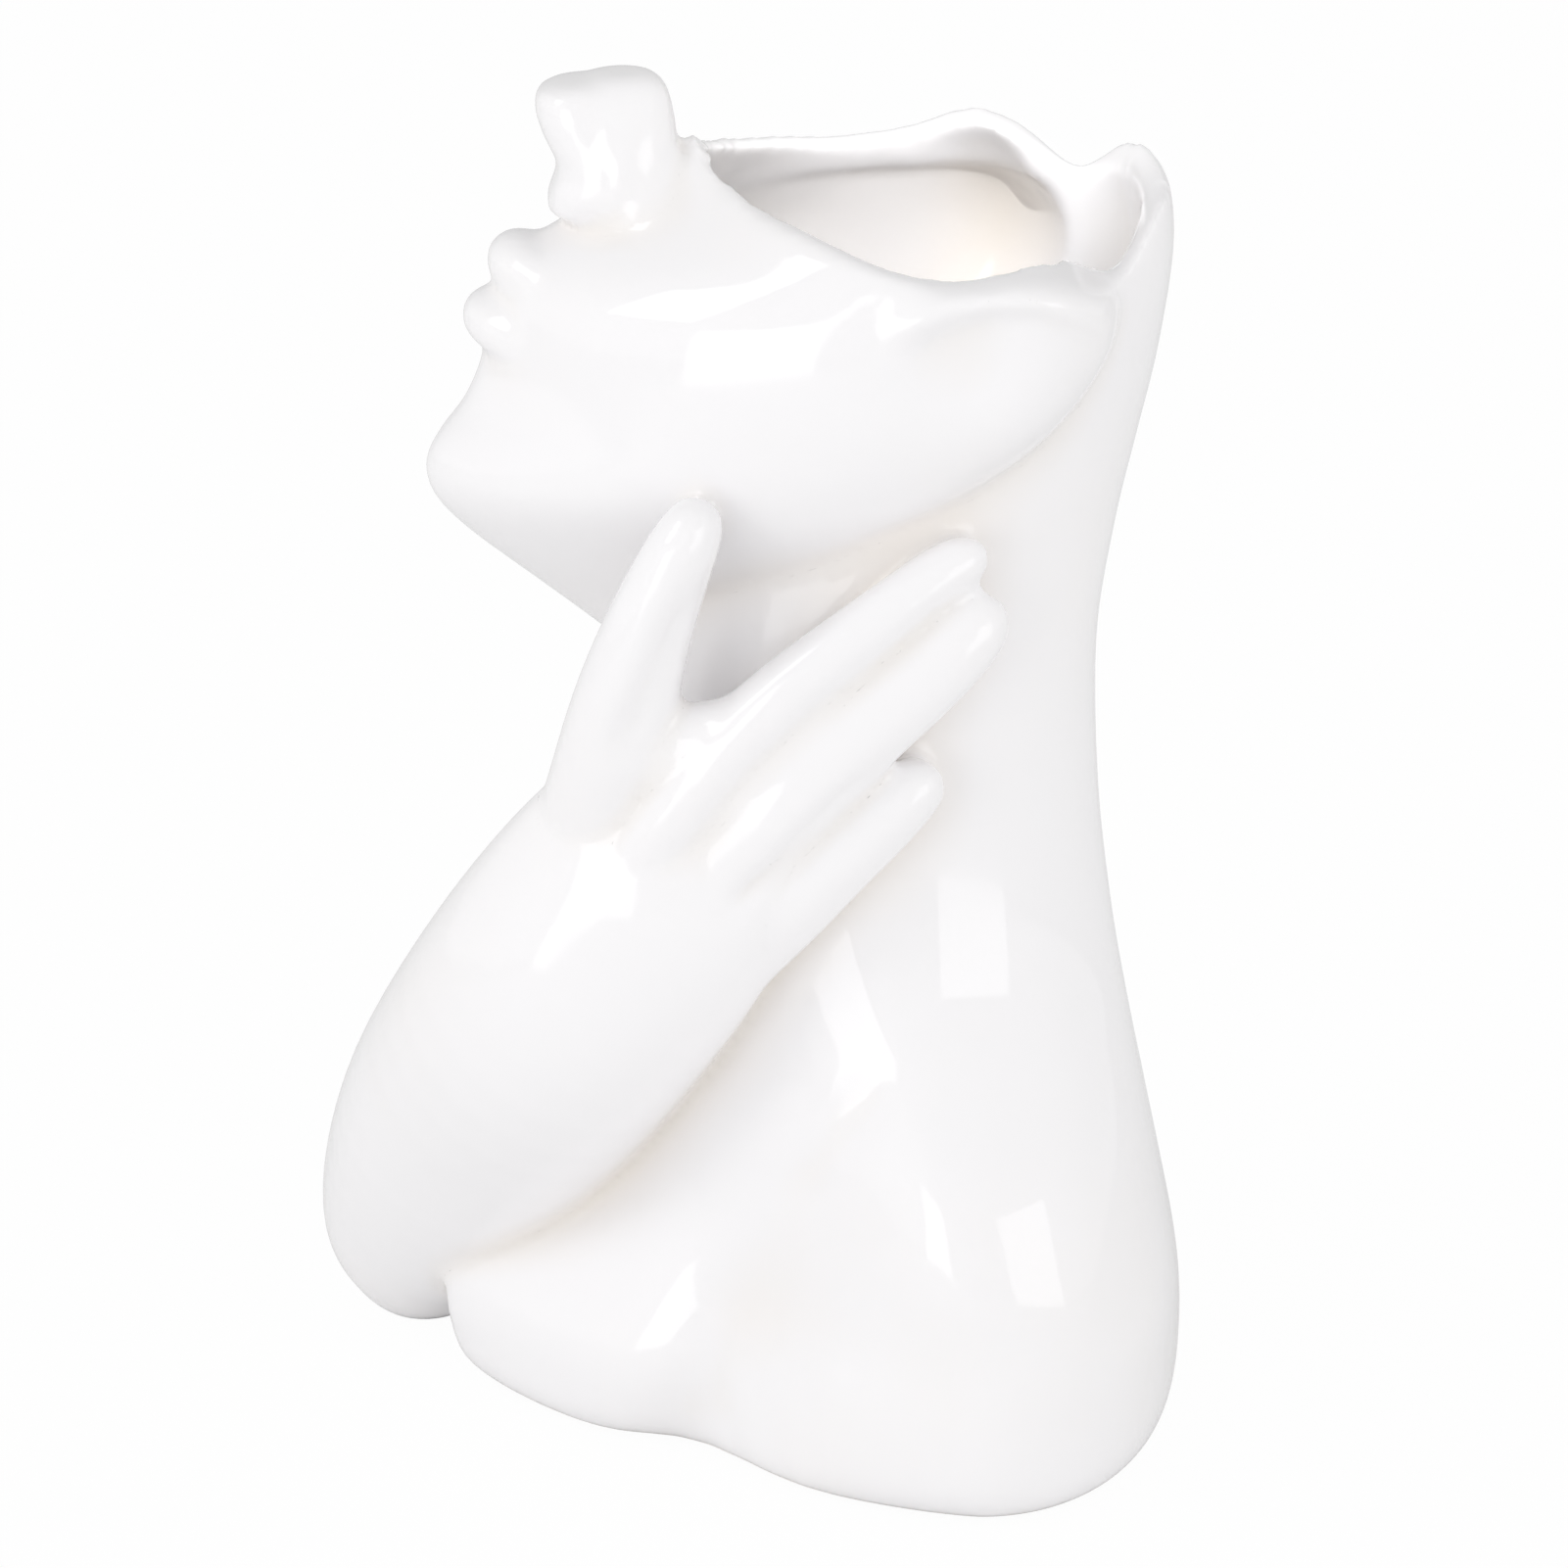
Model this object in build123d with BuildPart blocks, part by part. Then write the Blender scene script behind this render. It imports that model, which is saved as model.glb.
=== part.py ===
"""Hollow glazed ceramic vase: a cut-off head looking up, its neck and shoulders, and one hand on the neck.

The origin is on the table under the middle of the neck. The face looks along -X, the shoulders lie
along Y, and the hand lies on the -Y side. Every section is worked out from the sizes below.
"""
from build123d import *

import os
from math import copysign, cos, exp, pi, sin

# Shoulders and neck, one tapering column, mm
column_height = 212
chest_reach = 51.8
back_reach = 70.8
shoulder_reach = 66.3
column_wall = 5
floor_thickness = 6

# Head: jaw, cheeks and ear lobes, mm
jaw_start_drop = 88
head_rise = 92
chin_reach = 51
ear_setback = 14.3
cheek_reach = 42
head_wall = 5
rim_band = 7

# Lips and nose, mm
mouth_rise = 66.3
mouth_setback = 9
lip_half_width = 14
upper_lip_radius = 4.6
upper_lip_setback = 4.2
lower_lip_radius = 4.4
nose_lift = 9.7
nose_rise = 26
nose_setback = 17
nose_half_width = 11

# Rim of the mouth, mm
rim_drop = 3.5

# Arm and hand, mm
hand_rise = 36
elbow_proud = 2.2
hand_proud = 5.5
forearm_half_width = 24
forearm_half_depth = 19
finger_radius = 5.8
middle_finger_radius = 6.8
thumb_radius = 10

# Places worked out from the sizes above: the head sits on the neck, the lips and the nose on the head,
# and the arm on the chest and the neck
neck_width_share = 0.49
jaw_start_height = column_height - jaw_start_drop
rim_height = column_height - rim_drop
ear_reach = back_reach - ear_setback
mouth_height = jaw_start_height + mouth_rise
mouth_reach = chin_reach - mouth_setback
nose_base_height = mouth_height + nose_lift
nose_reach = chin_reach - nose_setback
hand_height = jaw_start_height + hand_rise
elbow_reach = chest_reach + elbow_proud
arm_offset = neck_width_share * shoulder_reach + hand_proud

# Shares of the column's sizes at each height: height, chest, back, half width, place of the widest
# point, and the powers that round the chest and the back
column_shares = [
    (0.000, 0.86, 0.94, 0.90, 0.47, 1.35, 2.1),
    (0.010, 0.94, 0.975, 0.955, 0.47, 1.35, 2.1),
    (0.035, 0.99, 0.997, 0.993, 0.47, 1.35, 2.1),
    (0.085, 1.00, 1.00, 1.00, 0.47, 1.35, 2.2),
    (0.140, 0.84, 0.98, 0.95, 0.46, 1.3, 2.2),
    (0.200, 0.63, 0.945, 0.845, 0.41, 1.3, 2.2),
    (0.264, 0.52, 0.905, 0.715, 0.37, 1.3, 2.1),
    (0.330, 0.455, 0.865, 0.615, 0.31, 1.35, 2.1),
    (0.400, 0.41, 0.83, 0.55, 0.26, 1.5, 2.0),
    (0.500, 0.39, 0.795, 0.51, 0.24, 1.75, 2.0),
    (0.620, 0.39, 0.785, 0.49, 0.24, 2.0, 2.0),
    (0.710, 0.31, 0.825, 0.475, 0.29, 2.0, 2.0),
    (0.780, 0.20, 0.87, 0.46, 0.37, 2.0, 2.0),
    (0.850, 0.04, 0.915, 0.46, 0.48, 2.0, 2.0),
    (0.935, -0.16, 0.94, 0.45, 0.54, 2.0, 2.0),
    (1.000, -0.27, 0.915, 0.43, 0.57, 2.0, 2.0),
]

# Shares of the head's sizes at each height: rise, chin, ear, cheek, place of the widest point, and
# the powers that round the face and the back of the jaw
head_shares = [
    (0.00, 0.27, 0.14, 0.22, 0.00, 1.8, 2.0),
    (0.09, 0.46, 0.21, 0.34, 0.00, 1.6, 2.0),
    (0.17, 0.64, 0.27, 0.46, 0.02, 1.5, 2.0),
    (0.24, 0.80, 0.32, 0.57, 0.04, 1.5, 2.0),
    (0.29, 0.91, 0.39, 0.66, 0.07, 1.5, 2.1),
    (0.34, 0.995, 0.46, 0.745, 0.11, 1.55, 2.3),
    (0.38, 1.03, 0.55, 0.81, 0.14, 1.6, 2.5),
    (0.42, 1.03, 0.64, 0.865, 0.19, 1.65, 2.8),
    (0.47, 0.98, 0.73, 0.92, 0.25, 1.65, 3.1),
    (0.52, 0.91, 0.81, 0.96, 0.30, 1.65, 3.4),
    (0.59, 0.855, 0.895, 0.995, 0.355, 1.65, 3.8),
    (0.67, 0.825, 0.97, 1.01, 0.405, 1.65, 4.0),
    (0.74, 0.80, 1.00, 1.005, 0.42, 1.6, 4.0),
    (0.80, 0.705, 0.99, 0.985, 0.415, 1.5, 4.0),
    (0.87, 0.50, 0.94, 0.955, 0.40, 1.35, 3.6),
    (0.935, 0.32, 0.87, 0.91, 0.39, 1.25, 3.2),
    (1.00, 0.16, 0.80, 0.85, 0.39, 1.2, 3.0),
    (1.08, 0.02, 0.72, 0.76, 0.39, 1.2, 3.0),
]

# Rim of the mouth seen from the side: place along the back's reach, height along the rim's height
rim_shares = [
    (-0.90, 1.024),
    (-0.20, 1.024),
    (-0.115, 1.014),
    (-0.03, 0.995),
    (0.085, 0.984),
    (0.215, 0.975),
    (0.33, 0.9755),
    (0.43, 0.983),
    (0.50, 0.991),
    (0.57, 0.995),
    (0.65, 0.988),
    (0.73, 0.972),
    (0.775, 0.9665),
    (0.82, 0.976),
    (0.87, 0.991),
    (0.91, 0.994),
    (0.96, 0.990),
    (1.10, 0.960),
]

# Nose: rise, front, back and half width
nose_shares = [
    (0.14, 0.93, 0.50, 0.72),
    (0.24, 0.935, 0.44, 0.93),
    (0.40, 0.91, 0.42, 0.95),
    (0.58, 0.985, 0.46, 0.86),
    (0.76, 1.045, 0.52, 0.78),
    (0.88, 1.02, 0.56, 0.68),
    (0.93, 0.90, 0.62, 0.48),
]

# Bridge, the wall that climbs from the cheeks to the cut behind the nose: rise, front, back and half
# width
bridge_shares = [
    (0.00, 0.80, 0.05, 1.15),
    (0.22, 0.80, 0.15, 1.22),
    (0.46, 0.80, 0.29, 1.10),
    (0.66, 0.84, 0.36, 0.92),
    (0.84, 0.86, 0.43, 0.76),
    (0.92, 0.80, 0.48, 0.62),
    (0.965, 0.70, 0.56, 0.42),
]

# Routes of the arm, the fingers and the thumb: place along the elbow's reach, the arm's offset and
# the hand's height, then the shares of the limb's half width and half depth there
arm_shares = [
    (-0.981, 0.82, 0.022, 0.40, 0.58),
    (-1.000, 0.75, 0.059, 0.65, 0.79),
    (-0.987, 0.59, 0.128, 0.85, 0.92),
    (-0.844, 0.11, 0.284, 1.00, 1.00),
    (-0.607, -0.45, 0.463, 1.05, 0.92),
    (-0.370, -0.78, 0.606, 1.01, 0.73),
    (-0.204, -0.90, 0.700, 0.85, 0.49),
    (-0.056, -0.94, 0.762, 0.60, 0.36),
    (0.046, -0.95, 0.803, 0.29, 0.22),
]
index_shares = [
    (-0.500, -0.83, 0.600, 1.21, 1.21),
    (-0.315, -0.95, 0.694, 1.17, 1.21),
    (-0.148, -1.00, 0.775, 1.07, 1.14),
    (0.037, -1.02, 0.841, 0.97, 1.03),
    (0.222, -1.01, 0.891, 0.90, 0.95),
    (0.389, -0.97, 0.931, 0.84, 0.88),
    (0.519, -0.93, 0.959, 0.78, 0.81),
    (0.598, -0.91, 0.974, 0.59, 0.62),
    (0.633, -0.90, 0.981, 0.17, 0.17),
]
middle_shares = [
    (-0.370, -0.83, 0.550, 1.18, 1.00),
    (-0.185, -0.96, 0.637, 1.21, 1.03),
    (0.000, -1.02, 0.716, 1.18, 1.00),
    (0.157, -1.03, 0.772, 1.15, 0.94),
    (0.306, -1.01, 0.818, 1.12, 0.88),
    (0.463, -0.98, 0.863, 1.06, 0.82),
    (0.583, -0.95, 0.896, 0.88, 0.75),
    (0.652, -0.93, 0.914, 0.59, 0.56),
    (0.685, -0.92, 0.922, 0.15, 0.15),
]
little_shares = [
    (-0.259, -0.74, 0.506, 1.64, 1.21),
    (-0.120, -0.87, 0.566, 1.59, 1.24),
    (0.028, -0.96, 0.617, 1.41, 1.21),
    (0.176, -0.99, 0.666, 1.26, 1.10),
    (0.315, -0.99, 0.706, 1.09, 1.02),
    (0.417, -0.98, 0.736, 0.91, 0.90),
    (0.467, -0.97, 0.751, 0.67, 0.67),
    (0.489, -0.96, 0.758, 0.17, 0.17),
]
thumb_shares = [
    (-0.519, -0.66, 0.637, 1.05, 0.90),
    (-0.472, -0.80, 0.731, 0.94, 0.92),
    (-0.419, -0.92, 0.825, 0.84, 0.88),
    (-0.356, -0.98, 0.903, 0.72, 0.82),
    (-0.281, -1.02, 0.972, 0.61, 0.72),
    (-0.224, -1.03, 1.016, 0.50, 0.58),
    (-0.204, -1.03, 1.038, 0.34, 0.38),
    (-0.196, -1.03, 1.046, 0.10, 0.10),
]

# Lips: place along the half width, setback round the face, and radius
lip_shares = [
    (-1.00, 0.60, 0.15),
    (-0.78, 0.34, 0.55),
    (-0.45, 0.10, 0.90),
    (0.00, 0.00, 1.00),
    (0.45, 0.10, 0.90),
    (0.78, 0.34, 0.55),
    (1.00, 0.60, 0.15),
]

# Valley between the chest and the shoulder: depth, place and width as shares
valley_depth_share = 0.17
valley_place_share = -0.08
valley_slope_share = 0.35
valley_top_share = 0.36
valley_width_share = 0.22

# Ear lobe, a swelling of the head's side: depth, place, length, and the rise at which it is fullest
ear_depth_share = 0.09
ear_place_share = 0.76
ear_length_share = 0.20
ear_rise_share = 0.82
ear_height_share = 0.30

# Rises of the head above which it is hollow and above which its wall thickens to the rim band, how
# square the nose is, and how far the corners of the mouth droop for their setback
hollow_start_share = 0.1
band_start_share = 0.8
nose_power_share = 0.8
lip_droop_share = 0.5

section_points = 40
nose_points = 24
wrist_station = 5
overrun = 20


def power(value, exponent):
    """Signed power, which turns a circle's sine and cosine into a rounded box's or a leaf's."""
    return copysign(abs(value) ** exponent, value)


def valley(x, z):
    """Share that the valley between chest and shoulder takes from the half width."""
    fade = max(0, 1 - (z / (valley_top_share * column_height)) ** 2)
    centre = valley_place_share * back_reach + valley_slope_share * z
    offset = (x - centre) / (valley_width_share * shoulder_reach)
    return 1 - valley_depth_share * fade ** 2 * exp(-offset * offset)


def column_section(row, inset=0):
    """Height and outline points of one section of the column, drawn in by inset."""
    height, front, back, width, middle, front_power, back_power = row
    z = height * column_height
    x_middle = middle * back_reach
    points = []
    for step in range(section_points):
        angle = 2 * pi * step / section_points
        exponent = 2 / (back_power if cos(angle) > 0 else front_power)
        reach = back * back_reach - x_middle if cos(angle) > 0 else x_middle + front * chest_reach
        x = x_middle + (reach - inset) * power(cos(angle), exponent)
        y = (width * shoulder_reach - inset) * power(sin(angle), exponent)
        points.append((x, y * valley(x, z)))
    return z, points


def ear_lobe(x, rise):
    """Share of the half width to which the ear lobe swells the side of the head."""
    along = (x / ear_reach - ear_place_share) / ear_length_share
    up = (rise - ear_rise_share) / ear_height_share
    return 1 + ear_depth_share * exp(-along * along - up * up)


def head_section(row, inset=0):
    """Height and outline points of one section of the head, drawn in by inset."""
    rise, chin, ear, cheek, middle, front_power, back_power = row
    z = jaw_start_height + rise * head_rise
    x_middle = middle * ear_reach
    points = []
    for step in range(section_points):
        angle = 2 * pi * step / section_points
        exponent = 2 / (back_power if cos(angle) > 0 else front_power)
        reach = ear * ear_reach - x_middle if cos(angle) > 0 else x_middle + chin * chin_reach
        x = x_middle + (reach - inset) * power(cos(angle), exponent)
        y = (cheek * cheek_reach - inset) * power(sin(angle), exponent)
        points.append((x, y * ear_lobe(x, rise)))
    return z, points


def limb_planes(shares):
    """Planes square to a limb's route, with their X across the limb."""
    route = [
        Vector(x * elbow_reach, y * arm_offset, z * hand_height)
        for x, y, z, width, depth in shares
    ]
    planes = []
    for place, point in enumerate(route):
        before = route[max(place - 1, 0)]
        after = route[min(place + 1, len(route) - 1)]
        along = (after - before).normalized()
        outward = Vector(-0.25, -1, 0.2)
        across = along.cross(outward).normalized()
        planes.append(Plane(origin=point, x_dir=across, z_dir=along))
    return planes


def limb(shares, half_width, half_depth):
    """Tapering limb of elliptic sections along its route."""
    with BuildPart() as form:
        for plane, (x, y, z, width, depth) in zip(limb_planes(shares), shares):
            with BuildSketch(plane):
                Ellipse(width * half_width, depth * half_depth)
        loft()
    return form.part


def lip(height, setback, radius):
    """One lip, a spindle bent round the front of the face."""
    with BuildPart() as form:
        for side, back, size in lip_shares:
            x = back * lip_half_width + setback - mouth_reach
            z = height - lip_droop_share * back * lip_half_width
            place = (x, side * lip_half_width, z)
            with BuildSketch(Plane(origin=place, x_dir=(1, 0, 0), z_dir=(0, 1, 0))):
                Circle(size * radius)
        loft()
    return form.part


def nose_loft(shares):
    """Nose or bridge, level sections from its foot up to the cut."""
    with BuildPart() as form:
        for rise, front, back, width in shares:
            half_length = (front - back) * nose_reach / 2
            x_middle = half_length - front * nose_reach
            points = []
            for step in range(nose_points):
                angle = 2 * pi * step / nose_points
                x = x_middle + half_length * power(cos(angle), nose_power_share)
                points.append((x, width * nose_half_width * power(sin(angle), nose_power_share)))
            with BuildSketch(Plane.XY.offset(nose_base_height + rise * nose_rise)):
                with BuildLine():
                    Spline(*points, periodic=True)
                make_face()
        loft()
    return form.part


# Solid forms, from which the shells are cut
with BuildPart() as column_form:
    for row in column_shares:
        z, points = column_section(row)
        with BuildSketch(Plane.XY.offset(z)):
            with BuildLine():
                Spline(*points, periodic=True)
            make_face()
    loft()

with BuildPart() as column_hollow:
    for row in column_shares:
        z, points = column_section(row, column_wall)
        raised = floor_thickness + z * (1 - floor_thickness / column_height)
        with BuildSketch(Plane.XY.offset(raised)):
            with BuildLine():
                Spline(*points, periodic=True)
            make_face()
    loft()

with BuildPart() as head_form:
    for row in head_shares:
        z, points = head_section(row)
        with BuildSketch(Plane.XY.offset(z)):
            with BuildLine():
                Spline(*points, periodic=True)
            make_face()
    loft()

# The hollow sits higher over the jaw's underside and lower under the cheeks, which lean in
with BuildPart() as head_hollow:
    for row in [row for row in head_shares if row[0] > hollow_start_share]:
        inset = rim_band if row[0] > band_start_share else head_wall
        z, points = head_section(row, inset)
        with BuildSketch(Plane.XY.offset(z + head_wall * (1 - 2 * row[0]))):
            with BuildLine():
                Spline(*points, periodic=True)
            make_face()
    loft()

# Everything above the rim line, which the mouth leaves open
with BuildPart() as above_rim:
    with BuildSketch(Plane.XZ):
        with BuildLine():
            rim_line = Spline(*[(x * back_reach, z * rim_height) for x, z in rim_shares])
            top = rim_height + overrun + nose_rise
            Polyline(rim_line @ 1, ((rim_line @ 1).X, top), ((rim_line @ 0).X, top), rim_line @ 0)
        make_face()
    extrude(amount=cheek_reach + overrun, both=True)

nose_form = nose_loft(nose_shares)
bridge_form = nose_loft(bridge_shares)
arm_form = limb(arm_shares, forearm_half_width, forearm_half_depth)
index_form = limb(index_shares, finger_radius, finger_radius)
middle_form = limb(middle_shares, middle_finger_radius, middle_finger_radius)
little_form = limb(little_shares, finger_radius, finger_radius)
thumb_form = limb(thumb_shares, thumb_radius, thumb_radius)

# Base slab, the unglazed foot that closes the column
with BuildPart() as base_slab:
    add(column_form.part)
    split(bisect_by=Plane.XY.offset(floor_thickness), keep=Keep.BOTTOM)
base_slab.part.label = "base_slab"

# Torso shell: shoulders, neck and the back of the collar
with BuildPart() as torso_shell:
    add(column_form.part)
    split(bisect_by=Plane.XY.offset(floor_thickness), keep=Keep.TOP)
    add(column_hollow.part, mode=Mode.SUBTRACT)
    add(head_hollow.part, mode=Mode.SUBTRACT)
    add(above_rim.part, mode=Mode.SUBTRACT)
torso_shell.part.label = "torso_shell"

# Face shell: jaw, cheeks, lips and ear lobes, open inside to the neck
with BuildPart() as face_shell:
    add(head_form.part)
    add(lip(mouth_height + upper_lip_radius, upper_lip_setback, upper_lip_radius))
    add(lip(mouth_height - lower_lip_radius, 0, lower_lip_radius))
    add(column_form.part, mode=Mode.SUBTRACT)
    add(column_hollow.part, mode=Mode.SUBTRACT)
    add(head_hollow.part, mode=Mode.SUBTRACT)
    add(above_rim.part, mode=Mode.SUBTRACT)
face_shell.part.label = "face_shell"

# Nose, standing on the front of the rim
with BuildPart() as nose:
    add(nose_form)
    add(bridge_form)
    add(head_form.part - above_rim.part, mode=Mode.SUBTRACT)
nose.part.label = "nose"

# Forearm and palm, one limb luted at the wrist
wrist = limb_planes(arm_shares)[wrist_station]
with BuildPart() as forearm:
    add(arm_form)
    split(bisect_by=wrist, keep=Keep.BOTTOM)
    split(bisect_by=Plane.XY, keep=Keep.TOP)
    add(column_form.part, mode=Mode.SUBTRACT)
forearm.part.label = "forearm"

with BuildPart() as palm:
    add(arm_form)
    split(bisect_by=wrist, keep=Keep.TOP)
    add(column_form.part, mode=Mode.SUBTRACT)
    add(head_form.part, mode=Mode.SUBTRACT)
palm.part.label = "palm"

# Fingers and thumb, each cut back to what it is laid on
digits = {
    "index_finger": (index_form, []),
    "middle_fingers": (middle_form, [index_form]),
    "little_finger": (little_form, [middle_form]),
    "thumb": (thumb_form, [index_form, middle_form]),
}
pieces = [base_slab, torso_shell, face_shell, nose, forearm, palm]
for name, (form, laid_on) in digits.items():
    with BuildPart() as digit:
        add(form)
        for neighbour in [arm_form, column_form.part, head_form.part] + laid_on:
            add(neighbour, mode=Mode.SUBTRACT)
    digit.part.label = name
    pieces.append(digit)

os.makedirs("parts", exist_ok=True)
for piece in pieces:
    export_step(piece.part, f"parts/{piece.part.label}.step")
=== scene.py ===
from math import copysign, cos, exp, pi, radians, sin

import bmesh
import bpy
import numpy
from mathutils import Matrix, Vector


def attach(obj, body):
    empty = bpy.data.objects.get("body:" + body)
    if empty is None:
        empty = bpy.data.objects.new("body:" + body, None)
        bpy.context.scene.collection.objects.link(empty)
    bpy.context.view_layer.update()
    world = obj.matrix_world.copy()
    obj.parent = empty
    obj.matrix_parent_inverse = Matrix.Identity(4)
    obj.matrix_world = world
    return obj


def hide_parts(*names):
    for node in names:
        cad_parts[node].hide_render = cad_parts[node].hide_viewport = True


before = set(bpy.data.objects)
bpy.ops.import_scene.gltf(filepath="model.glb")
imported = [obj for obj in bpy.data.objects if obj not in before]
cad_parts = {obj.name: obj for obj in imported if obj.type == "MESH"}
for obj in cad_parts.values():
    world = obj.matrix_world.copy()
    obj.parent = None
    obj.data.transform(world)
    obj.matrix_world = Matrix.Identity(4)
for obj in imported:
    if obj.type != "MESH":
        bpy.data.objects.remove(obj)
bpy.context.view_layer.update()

MM = 0.001

# Shoulders and neck, one tapering column
COLUMN_HEIGHT = 212 * MM
CHEST_REACH = 51.8 * MM
BACK_REACH = 70.8 * MM
SHOULDER_REACH = 66.3 * MM
COLUMN_WALL = 5 * MM
FLOOR_THICKNESS = 6 * MM

# Head: jaw, cheeks and ear lobes
JAW_START_HEIGHT = 124 * MM
HEAD_RISE = 92 * MM
CHIN_REACH = 51 * MM
EAR_REACH = 56.5 * MM
CHEEK_REACH = 42 * MM
HEAD_WALL = 5 * MM

# Lips and nose
MOUTH_HEIGHT = 190.3 * MM
MOUTH_REACH = 42 * MM
LIP_HALF_WIDTH = 14 * MM
UPPER_LIP_RADIUS = 4.6 * MM
UPPER_LIP_SETBACK = 4.2 * MM
LOWER_LIP_RADIUS = 4.4 * MM
NOSE_BASE_HEIGHT = 200 * MM
NOSE_RISE = 26 * MM
NOSE_REACH = 34 * MM
NOSE_HALF_WIDTH = 11 * MM

# Rim of the mouth
RIM_HEIGHT = 208.5 * MM

# Arm and hand
HAND_HEIGHT = 160 * MM
ELBOW_REACH = 54 * MM
ARM_OFFSET = 38 * MM
FOREARM_HALF_WIDTH = 24 * MM
FOREARM_HALF_DEPTH = 19 * MM
FINGER_RADIUS = 5.8 * MM
MIDDLE_FINGER_RADIUS = 6.8 * MM
THUMB_RADIUS = 10 * MM

# Rim: how far the glaze's rounding lowers it, its thick inner band, the undercut below the band, and how far
# it dips at the near ear, with the places along x where the dip starts, is full, fades and ends
RIM_ROUNDING = 1.2 * MM
MOUTH_BAND = 6.5 * MM
MOUTH_START_SHARE = 0.62
UNDERCUT_SHARE = 0.85
HOLLOW_START_SHARE = 0.1
UNDERCUT = 1.5 * MM
RIM_DEPTH = 4 * MM
RIM_POINTS = 200
RIM_BLOCK_SHARE = 1.3
NEAR_DROP = 6.8 * MM
NEAR_DROP_X = (4 * MM, 40 * MM, 54 * MM, 66 * MM)

# Ear lobe: the ridge round it and the dish inside it
EAR_CENTRE_X = 36.5 * MM
EAR_CENTRE_Z = 186 * MM
EAR_HALF_LENGTH = 19 * MM
EAR_HALF_HEIGHT = 14 * MM
EAR_RIDGE = 3.0 * MM
EAR_RIDGE_WIDTH = 0.17
EAR_DISH_X = 33 * MM
EAR_DISH_Z = 188.5 * MM
EAR_DISH_LENGTH = 14 * MM
EAR_DISH_HEIGHT = 9 * MM
EAR_DISH = 2.0 * MM
EAR_INNER = 24 * MM
EAR_FADE_STEEPNESS = 6
EAR_FADE_SLANT_SHARE = 0.7
EXPONENT_LIMIT = 50

# Where the cheeks run smoothly up into the bridge: nearest and farthest x, z and half width
FLOW_X = (-20 * MM, -4 * MM)
FLOW_Z = (199 * MM, 216 * MM)
FLOW_Y = (4 * MM, 24 * MM)

# Creases pressed into the sides, in mm: depth (a ridge where it is negative), width, half width beyond which
# it is pressed, whether it is on both sides, and its line in x and z
STROKES = [
    (1.7, 3.0, 30, False, [(-10.7, 158), (-13.9, 148.4), (-17.9, 138.8), (-22.1, 130), (-25.5, 122.9)]),
    (0.9, 1.3, 30, False, [(19, 126.5), (12.4, 120.8), (5.9, 114.4), (-1.5, 106.3), (-9.5, 97.3)]),
    (0.6, 1.4, 30, False, [(34, 153), (25.9, 147.4), (16.8, 139.5), (7.7, 130.8)]),
    (-0.5, 1.3, 30, False, [(29.3, 160.2), (21.1, 155.4), (10.5, 146.4), (-0.1, 138), (-8.5, 131.6)]),
    (0.9, 3.2, 20, True, [(21, 76), (10.8, 62), (1, 46)]),
    (0.9, 1.5, 6, True, [(-25.5, 203.4), (-22.6, 204.7), (-19.8, 208.8), (-17.2, 213.5)]),
]

# How sharply creases start at the edge of a side, and how sharply they taper at their ends
OUTWARD_STEEPNESS = 2
TAPER_STEEPNESS = 4

# Grain of the clay mesh, how far the glaze rounds creases and rim, how closely and how widely pools of glaze
# and painted shade in hollows are looked for, and how far a piece's territory reaches past its own form
BODY_VOXEL = 0.85 * MM
FORM_VOXEL = 1.2 * MM
HOLLOW_VOXEL = 1.1 * MM
CREASE_SMOOTHING = 8
RIM_SMOOTHING = 22
FLOW_SMOOTHING = 90
HOLLOW_SMOOTHING = 2
SMOOTHING_SHARE = 0.5
KEPT_FACES_SHARE = 0.45
# Hollow depths for the cream mark, which is partly glaze pooling and partly painted shade
POOL_AND_SHADE_STAGES = ((120, 3.0 * MM), (450, 5.0 * MM))
LIMB_GROWTH = 0.7 * MM
COLUMN_GROWTH = 0.3 * MM
HEAD_GROWTH = 1.6 * MM

# Height, chest, back, half width, place of the widest point, powers that round the chest and the back
COLUMN_SHARES = [
    (0.000, 0.86, 0.94, 0.89, 0.47, 1.35, 2.1),
    (0.010, 0.94, 0.975, 0.945, 0.47, 1.35, 2.1),
    (0.035, 0.99, 0.997, 0.99, 0.47, 1.35, 2.1),
    (0.085, 1.00, 1.00, 1.00, 0.47, 1.35, 2.2),
    (0.140, 0.84, 0.98, 0.98, 0.46, 1.3, 2.5),
    (0.200, 0.63, 0.945, 0.955, 0.41, 1.3, 2.5),
    (0.264, 0.52, 0.905, 0.875, 0.37, 1.3, 2.5),
    (0.330, 0.455, 0.865, 0.715, 0.31, 1.35, 2.5),
    (0.400, 0.41, 0.83, 0.585, 0.26, 1.5, 2.25),
    (0.500, 0.39, 0.795, 0.515, 0.24, 1.75, 2.25),
    (0.620, 0.39, 0.785, 0.49, 0.24, 2.0, 2.25),
    (0.710, 0.31, 0.825, 0.475, 0.29, 2.0, 2.0),
    (0.780, 0.20, 0.87, 0.46, 0.37, 2.0, 2.0),
    (0.850, 0.04, 0.915, 0.46, 0.48, 2.0, 2.0),
    (0.935, -0.16, 0.94, 0.46, 0.54, 2.0, 2.4),
    (1.000, -0.27, 0.915, 0.47, 0.57, 2.0, 2.8),
]

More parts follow.
